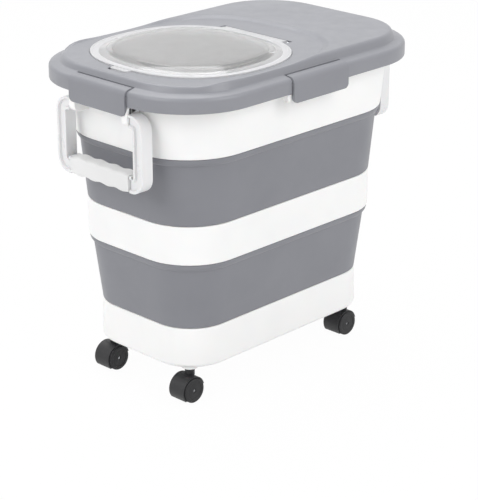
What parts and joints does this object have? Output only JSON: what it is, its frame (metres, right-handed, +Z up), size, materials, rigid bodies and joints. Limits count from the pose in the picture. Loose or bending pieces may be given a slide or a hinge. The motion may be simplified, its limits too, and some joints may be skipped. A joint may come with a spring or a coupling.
{
  "type": "collapsible storage bin",
  "caption": "Collapsible oblong dry-food bin on casters: folding soft walls, latched lift-off lid with a clear flip lid, and two bail handles.",
  "frame": {"origin": "middle of the floor plane under the casters", "axes": "+X along the length towards the hinge side of the flip lid, +Y across the width, +Z up"},
  "size_m": [0.434, 0.295, 0.412],
  "materials": {
    "white_plastic": "moulded white polypropylene, satin",
    "handle_plastic": "moulded white polypropylene, satin",
    "grip_rubber": "moulded off-white thermoplastic rubber, matt",
    "grey_membrane": "moulded grey thermoplastic rubber, matt",
    "grey_plastic": "moulded grey polypropylene, fine texture",
    "latch_plastic": "moulded grey polypropylene, fine texture",
    "steel": "drawn steel pin",
    "seal_silicone": "translucent white silicone",
    "clear_plastic": "clear polystyrene, polished",
    "black_plastic": "moulded black nylon, satin",
    "wheel_plastic": "moulded black nylon, satin"
  },
  "bodies": {
    "base": {"base_tub": "white_plastic", "lower_membrane": "grey_membrane", "caster_stem_front_left": "steel", "caster_stem_front_right": "steel", "caster_stem_back_left": "steel", "caster_stem_back_right": "steel"},
    "middle": {"mid_ring": "white_plastic", "upper_membrane": "grey_membrane"},
    "top": {"top_ring": "white_plastic"},
    "lid": {"lid": "grey_plastic", "lid_seal": "seal_silicone", "flip_hinge_pin": "steel", "latch_pin_left": "steel", "latch_pin_right": "steel", "latch_pin_front": "steel", "latch_pin_back": "steel"},
    "flip": {"flip_lid": "clear_plastic", "flip_seal": "seal_silicone"},
    "latch_left": {"latch_left": "latch_plastic"},
    "latch_right": {"latch_right": "latch_plastic"},
    "latch_front": {"latch_front": "latch_plastic"},
    "latch_back": {"latch_back": "latch_plastic"},
    "handle_left": {"handle_left": "handle_plastic", "grip_left": "grip_rubber"},
    "handle_right": {"handle_right": "handle_plastic", "grip_right": "grip_rubber"},
    "caster_front_left": {"caster_hood_front_left": "black_plastic", "caster_axle_front_left": "steel"},
    "wheel_a_front_left": {"wheel_a_front_left": "wheel_plastic"},
    "wheel_b_front_left": {"wheel_b_front_left": "wheel_plastic"},
    "caster_front_right": {"caster_hood_front_right": "black_plastic", "caster_axle_front_right": "steel"},
    "wheel_a_front_right": {"wheel_a_front_right": "wheel_plastic"},
    "wheel_b_front_right": {"wheel_b_front_right": "wheel_plastic"},
    "caster_back_left": {"caster_hood_back_left": "black_plastic", "caster_axle_back_left": "steel"},
    "wheel_a_back_left": {"wheel_a_back_left": "wheel_plastic"},
    "wheel_b_back_left": {"wheel_b_back_left": "wheel_plastic"},
    "caster_back_right": {"caster_hood_back_right": "black_plastic", "caster_axle_back_right": "steel"},
    "wheel_a_back_right": {"wheel_a_back_right": "wheel_plastic"},
    "wheel_b_back_right": {"wheel_b_back_right": "wheel_plastic"}
  },
  "joints": [
    {"name": "lower_fold", "type": "slide", "parent": "base", "child": "middle", "axis": [0, 0, 1], "range_m": [-0.132, 0], "deforming": ["lower_membrane"]},
    {"name": "upper_fold", "type": "slide", "parent": "middle", "child": "top", "axis": [0, 0, 1], "range_m": [-0.132, 0], "deforming": ["upper_membrane"]},
    {"name": "lid_lift", "type": "slide", "parent": "top", "child": "lid", "axis": [0, 0, 1], "range_m": [0, 0.12]},
    {"name": "flip_hinge", "type": "hinge", "parent": "lid", "child": "flip", "pos_m": [0.044, 0, 0.4023], "axis": [0, 1, 0], "range_deg": [0, 105]},
    {"name": "latch_left_hinge", "type": "hinge", "parent": "lid", "child": "latch_left", "pos_m": [-0.207, 0, 0.3918], "axis": [0, 1, 0], "range_deg": [0, 95]},
    {"name": "latch_right_hinge", "type": "hinge", "parent": "lid", "child": "latch_right", "pos_m": [0.207, 0, 0.3918], "axis": [0, -1, 0], "range_deg": [0, 95]},
    {"name": "latch_front_hinge", "type": "hinge", "parent": "lid", "child": "latch_front", "pos_m": [0, -0.1375, 0.3918], "axis": [-1, 0, 0], "range_deg": [0, 95]},
    {"name": "latch_back_hinge", "type": "hinge", "parent": "lid", "child": "latch_back", "pos_m": [0, 0.1375, 0.3918], "axis": [1, 0, 0], "range_deg": [0, 95]},
    {"name": "handle_left_pivot", "type": "hinge", "parent": "top", "child": "handle_left", "pos_m": [-0.20691, 0, 0.361], "axis": [0, 1, 0], "range_deg": [0, 100]},
    {"name": "handle_right_pivot", "type": "hinge", "parent": "top", "child": "handle_right", "pos_m": [0.20691, 0, 0.361], "axis": [0, -1, 0], "range_deg": [0, 100]},
    {"name": "caster_front_left_swivel", "type": "hinge", "parent": "base", "child": "caster_front_left", "pos_m": [-0.1395, -0.067, 0.04], "axis": [0, 0, 1], "continuous": true},
    {"name": "wheel_a_front_left_roll", "type": "hinge", "parent": "caster_front_left", "child": "wheel_a_front_left", "pos_m": [-0.1451, -0.067, 0.0155], "axis": [0, 1, 0], "continuous": true},
    {"name": "wheel_b_front_left_roll", "type": "hinge", "parent": "caster_front_left", "child": "wheel_b_front_left", "pos_m": [-0.1451, -0.067, 0.0155], "axis": [0, 1, 0], "continuous": true},
    {"name": "caster_front_right_swivel", "type": "hinge", "parent": "base", "child": "caster_front_right", "pos_m": [0.1395, -0.067, 0.04], "axis": [0, 0, 1], "continuous": true},
    {"name": "wheel_a_front_right_roll", "type": "hinge", "parent": "caster_front_right", "child": "wheel_a_front_right", "pos_m": [0.1339, -0.067, 0.0155], "axis": [0, 1, 0], "continuous": true},
    {"name": "wheel_b_front_right_roll", "type": "hinge", "parent": "caster_front_right", "child": "wheel_b_front_right", "pos_m": [0.1339, -0.067, 0.0155], "axis": [0, 1, 0], "continuous": true},
    {"name": "caster_back_left_swivel", "type": "hinge", "parent": "base", "child": "caster_back_left", "pos_m": [-0.1395, 0.067, 0.04], "axis": [0, 0, 1], "continuous": true},
    {"name": "wheel_a_back_left_roll", "type": "hinge", "parent": "caster_back_left", "child": "wheel_a_back_left", "pos_m": [-0.1451, 0.067, 0.0155], "axis": [0, 1, 0], "continuous": true},
    {"name": "wheel_b_back_left_roll", "type": "hinge", "parent": "caster_back_left", "child": "wheel_b_back_left", "pos_m": [-0.1451, 0.067, 0.0155], "axis": [0, 1, 0], "continuous": true},
    {"name": "caster_back_right_swivel", "type": "hinge", "parent": "base", "child": "caster_back_right", "pos_m": [0.1395, 0.067, 0.04], "axis": [0, 0, 1], "continuous": true},
    {"name": "wheel_a_back_right_roll", "type": "hinge", "parent": "caster_back_right", "child": "wheel_a_back_right", "pos_m": [0.1339, 0.067, 0.0155], "axis": [0, 1, 0], "continuous": true},
    {"name": "wheel_b_back_right_roll", "type": "hinge", "parent": "caster_back_right", "child": "wheel_b_back_right", "pos_m": [0.1339, 0.067, 0.0155], "axis": [0, 1, 0], "continuous": true}
  ]
}
